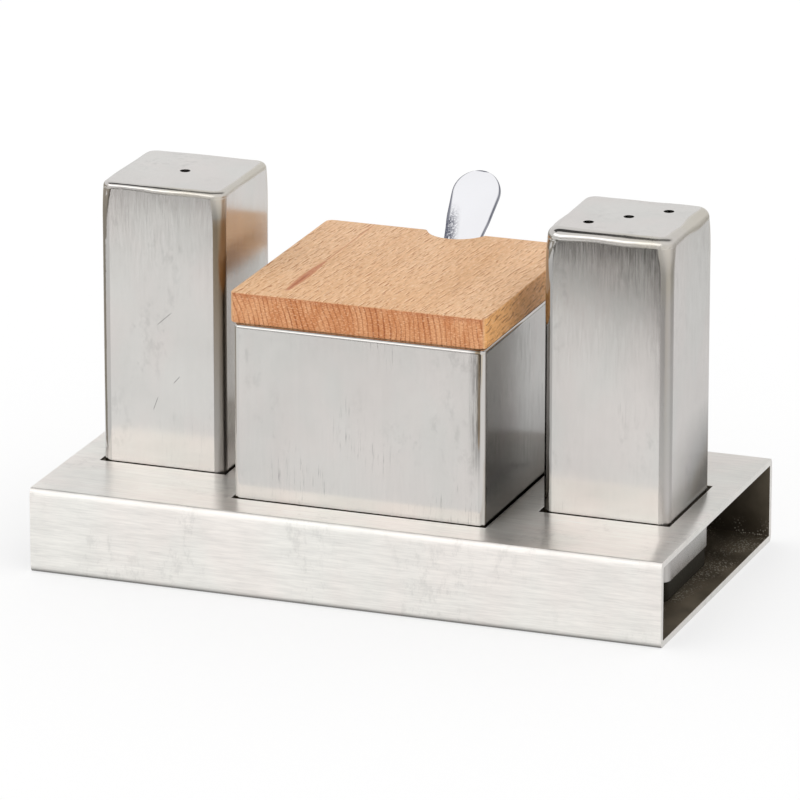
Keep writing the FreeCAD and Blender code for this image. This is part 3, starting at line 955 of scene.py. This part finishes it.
def spoon_rows():
    """Rows of points across the spoon's sheet, from the bowl's tip to the handle's end."""
    long_radius = (BOWL_LENGTH**2 / 4 + BOWL_DEPTH**2) / (2 * BOWL_DEPTH)
    cross_radius = (BOWL_WIDTH**2 / 4 + BOWL_DEPTH**2) / (2 * BOWL_DEPTH)
    axis_y = cross_radius - BOWL_DEPTH
    half_wall = SPOON_THICKNESS / 2
    columns = [math.sin(math.pi / 2 * i / 8) for i in range(-8, 9)]
    rows = []
    bowl_steps = 26
    for step in range(bowl_steps):
        share = 0.5 - 0.5 * math.cos(math.pi * (step + 0.35) / (bowl_steps + 1.6))
        z = half_wall + (BOWL_LENGTH - 2 * half_wall) * share
        depth = math.sqrt(long_radius**2 - (z - BOWL_LENGTH / 2) ** 2) - long_radius + BOWL_DEPTH
        reach = depth + axis_y
        half = math.sqrt(max(0.05, reach**2 - axis_y**2))
        if z > BOWL_LENGTH / 2:
            half = math.hypot(half, NECK_WIDTH / 2 * (z / (BOWL_LENGTH / 2) - 1) ** 4)
        row = []
        for column in columns:
            x = column * half
            y = math.sqrt(max(0.0, reach**2 - x**2)) - axis_y - half_wall
            row.append((x, max(y, 0.0) if z < BOWL_LENGTH - 3 else y, z))
        rows.append(row)
    turn_over = HANDLE_START - HANDLE_END
    radius = HANDLE_CHORD / (2 * math.sin(turn_over / 2))
    centre_y = radius * math.cos(HANDLE_START)
    centre_z = BOWL_LENGTH - SPOON_THICKNESS + radius * math.sin(HANDLE_START)
    end_z = centre_z - radius * math.sin(HANDLE_END)
    handle_steps = 60
    for step in range(3, handle_steps + 1):
        share = math.sin(math.pi / 2 * step / handle_steps)
        angle = HANDLE_START - turn_over * share
        y = centre_y - radius * math.cos(angle)
        z = centre_z - radius * math.sin(angle)
        half = max(handle_half_width(end_z - z), 0.12)
        rows.append([(column * half, y, z) for column in columns])
    return rows


def spoon():
    """The polished spoon: a thin sheet, dished in the bowl and round at its edges."""
    rows = spoon_rows()
    mesh = bpy.data.meshes.new("spoon")
    build = bmesh.new()
    rim = build.verts.layers.float.new("rim")
    grid = [[build.verts.new(mm(*point)) for point in row] for row in rows]
    # The side columns and the rows at the handle's end are marked "rim", where a dark reflection is painted
    for vertex in sum([row[:2] + row[-2:] for row in grid] + grid[-4:], []):
        vertex[rim] = 1.0
    for low, high in zip(grid, grid[1:]):
        for i in range(len(low) - 1):
            build.faces.new((low[i], low[i + 1], high[i + 1], high[i]))
    for row in (grid[0], grid[-1]):
        bmesh.ops.pointmerge(build, verts=row, merge_co=sum((v.co for v in row), Vector()) / len(row))
    bmesh.ops.recalc_face_normals(build, faces=build.faces)
    build.to_mesh(mesh)
    build.free()
    piece = bpy.data.objects.new("spoon", mesh)
    bpy.context.scene.collection.objects.link(piece)
    thick = piece.modifiers.new("thick", "SOLIDIFY")
    thick.thickness = SPOON_THICKNESS * MM
    thick.offset = 0
    round_off = piece.modifiers.new("round", "SUBSURF")
    round_off.levels = 2
    round_off.render_levels = 2
    apply_modifiers(piece)
    lean = Matrix.Rotation(-SPOON_LEAN, 4, "X") @ Matrix.Rotation(SPOON_ROLL, 4, "Y")
    piece.data.transform(lean)
    low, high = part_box("sugar_spoon")
    corners = [v.co for v in piece.data.vertices]
    x_middle = (min(c.x for c in corners) + max(c.x for c in corners)) / 2
    shift = Vector((
        (low.x + high.x) / 2 - x_middle,
        high.y - max(c.y for c in corners),
        high.z - max(c.z for c in corners),
    ))
    piece.data.transform(Matrix.Translation(shift))
    smooth(piece, 80)
    return dress(piece, "spoon", [SPOON_STEEL], ["sugar_spoon"])


# Stage


def floor():
    """A plain pale sheet under the set, square to the camera."""
    right = Vector((math.cos(CAMERA_AZIMUTH), math.sin(CAMERA_AZIMUTH), 0))
    to_camera = Vector((math.sin(CAMERA_AZIMUTH), -math.cos(CAMERA_AZIMUTH), 0))
    mesh = bpy.data.meshes.new("floor")
    build = bmesh.new()
    corners = [
        -right * SHEET_LEFT + to_camera * SHEET_FRONT_LEFT,
        right * SHEET_RIGHT + to_camera * SHEET_FRONT_RIGHT,
        right * SHEET_RIGHT - to_camera * SHEET_BACK,
        -right * SHEET_LEFT_BACK - to_camera * SHEET_BACK,
        -right * SHEET_LEFT_BACK,
        -right * SHEET_LEFT,
    ]
    under = Vector((0, 0, -FLOOR_DROP))
    build.faces.new([build.verts.new(corner + under) for corner in corners])
    round_it = corners[4:] + corners[:3]
    for start, end in zip(round_it, round_it[1:]):
        ring = (start * OUTER_SHEET, end * OUTER_SHEET, end * OUTER_SHEET_END, start * OUTER_SHEET_END)
        build.faces.new([build.verts.new(corner + under) for corner in ring])
    build.to_mesh(mesh)
    build.free()
    piece = bpy.data.objects.new("floor", mesh)
    bpy.context.scene.collection.objects.link(piece)
    n = Nodes("floor")
    fibre = n.noise((300, 300, 300), detail=3)
    n.finish(Base_Color=n.mixed(fibre, rgb(0.945, 0.945, 0.945), rgb(0.955, 0.955, 0.955)), Roughness=0.9)
    n.shader.inputs["Specular IOR Level"].default_value = 0.0
    path = n.tree.nodes.new("ShaderNodeLightPath")
    seen = n.math("MAXIMUM", path.outputs["Is Camera Ray"], path.outputs["Is Glossy Ray"])
    seen = n.math("MAXIMUM", seen, path.outputs["Is Transmission Ray"])
    white = n.tree.nodes.new("ShaderNodeEmission")
    mix = n.tree.nodes.new("ShaderNodeMixShader")
    n.link(n.math("MULTIPLY", seen, FLOOR_WHITE), mix.inputs[0])
    n.link(n.shader.outputs[0], mix.inputs[1])
    n.link(white.outputs[0], mix.inputs[2])
    n.link(mix.outputs[0], n.output.inputs[0])
    mesh.materials.append(n.material)


def studio():
    """A white light tent: plain light on the set, and in its steel the tent's own shape,
    with a pale back, a bright front and a dark gap overhead."""
    world = bpy.data.worlds.new("studio")
    bpy.context.scene.world = world
    world.use_nodes = True
    world.cycles.sampling_method = "NONE"
    n = Nodes.__new__(Nodes)
    n.tree = world.node_tree
    n.tree.nodes.clear()
    n.place = n.tree.nodes.new("ShaderNodeTexCoord").outputs["Generated"]
    x, y, up = n.axes()
    toward = n.math("ADD", n.math("MULTIPLY", x, math.sin(CAMERA_AZIMUTH)),
                    n.math("MULTIPLY", y, -math.cos(CAMERA_AZIMUTH)))
    side = n.math("ADD", n.math("MULTIPLY", x, math.cos(CAMERA_AZIMUTH)),
                  n.math("MULTIPLY", y, math.sin(CAMERA_AZIMUTH)))
    front = n.span(toward, 0.0, 0.2)
    strip = n.math("MULTIPLY", n.span(up, 0.18, 0.29), n.span(up, 0.64, 0.36))
    strip = n.math("MULTIPLY", strip, n.span(side, 0.0, -0.2))
    front_light = n.between(strip, FRONT_LIGHT, FRONT_STRIP_LIGHT)
    tent = n.between(front, BACK_LIGHT, front_light)
    lean = n.math("DIVIDE", toward, n.math("MAXIMUM", up, 0.001))
    gap = n.math("MULTIPLY", n.span(lean, GAP_BACK - 0.08, GAP_BACK + 0.08),
                 n.span(lean, GAP_FRONT + 0.05, GAP_FRONT - 0.05))
    sideways = n.math("DIVIDE", n.math("ABSOLUTE", side), n.math("MAXIMUM", up, 0.001))
    gap = n.math("MULTIPLY", gap, n.span(sideways, 1.3, 0.9))
    tent = n.between(gap, tent, GAP_LIGHT)
    room = n.span(n.math("MULTIPLY", y, -1.0), 0.65, 0.86, ROOM_SIDE_LIGHT, ROOM_FRONT_LIGHT)
    card = n.math("MULTIPLY", n.span(x, 0.30, 0.50), n.span(n.math("MULTIPLY", y, -1.0), -0.15, 0.0))
    room = n.between(card, room, CARD_LIGHT)
    below = n.span(up, 0.02, -0.03)
    tent = n.between(below, tent, room)
    path = n.tree.nodes.new("ShaderNodeLightPath")
    tent = n.between(path.outputs["Is Diffuse Ray"], tent, PLAIN_LIGHT)
    light = n.tree.nodes.new("ShaderNodeBackground")
    n.link(n.between(path.outputs["Is Camera Ray"], tent, 1.0), light.inputs["Strength"])
    reflected = n.math("MULTIPLY", below, path.outputs["Is Glossy Ray"])
    n.link(n.mixed(reflected, rgb(1, 1, 1), rgb(1, 0.93, 0.80)), light.inputs["Color"])
    output = n.tree.nodes.new("ShaderNodeOutputWorld")
    n.link(light.outputs[0], output.inputs[0])


def camera():
    a, e = CAMERA_AZIMUTH, CAMERA_ELEVATION
    back = Vector((math.sin(a) * math.cos(e), -math.cos(a) * math.cos(e), math.sin(e)))
    right = Vector((math.cos(a), math.sin(a), 0))
    place = right * AIM_ALONG_IMAGE + Vector((0, 0, AIM_HEIGHT)) + back * CAMERA_DISTANCE
    data = bpy.data.cameras.new("camera")
    data.sensor_width = CAMERA_SENSOR
    data.lens = CAMERA_LENS
    piece = bpy.data.objects.new("camera", data)
    bpy.context.scene.collection.objects.link(piece)
    turn = Matrix((right, back.cross(right), back)).transposed() @ Matrix.Rotation(CAMERA_ROLL, 3, "Z")
    piece.matrix_world = Matrix.Translation(place) @ turn.to_4x4()
    bpy.context.scene.camera = piece


STAND_STEEL = brushed_steel("stand_steel", rgb(0.955, 0.930, 0.896), 0, 0.35, 0.07, 0.10, (0.87, 0.72))
STAND_INSIDE = rough_steel()
SHAKER_STEELS = {
    "left": brushed_steel(
        "left_shaker_steel", rgb(0.69, 0.67, 0.652), 2, 0.20, 0.018, 0.10, (0.98, 0.91), SCRATCHES
    ),
    "right": brushed_steel("right_shaker_steel", rgb(0.68, 0.66, 0.642), 2, 0.21, 0.022, 0.12, (0.97, 0.78)),
}
BOX_STEEL = brushed_steel("box_steel", rgb(0.65, 0.632, 0.615), 2, 0.20, 0.02, 0.38, (1.0, 0.63))
BOX_INSIDE = satin_steel()
SPOON_STEEL = polished_steel()
LID_WOOD = beech("lid_wood")
PLASTIC = dark_plastic()

stand()
shaker("left", 1)
shaker("right", 3)
sugar_box()
lid_board()
spoon()
for node, material in (
    ("box_bottom", BOX_INSIDE),
    ("lid_block", LID_WOOD),
    ("left_shaker_plug", PLASTIC),
    ("right_shaker_plug", PLASTIC),
):
    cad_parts[node].material_slots[0].material = material

floor()
studio()
camera()
bpy.context.scene.view_settings.view_transform = "Standard"
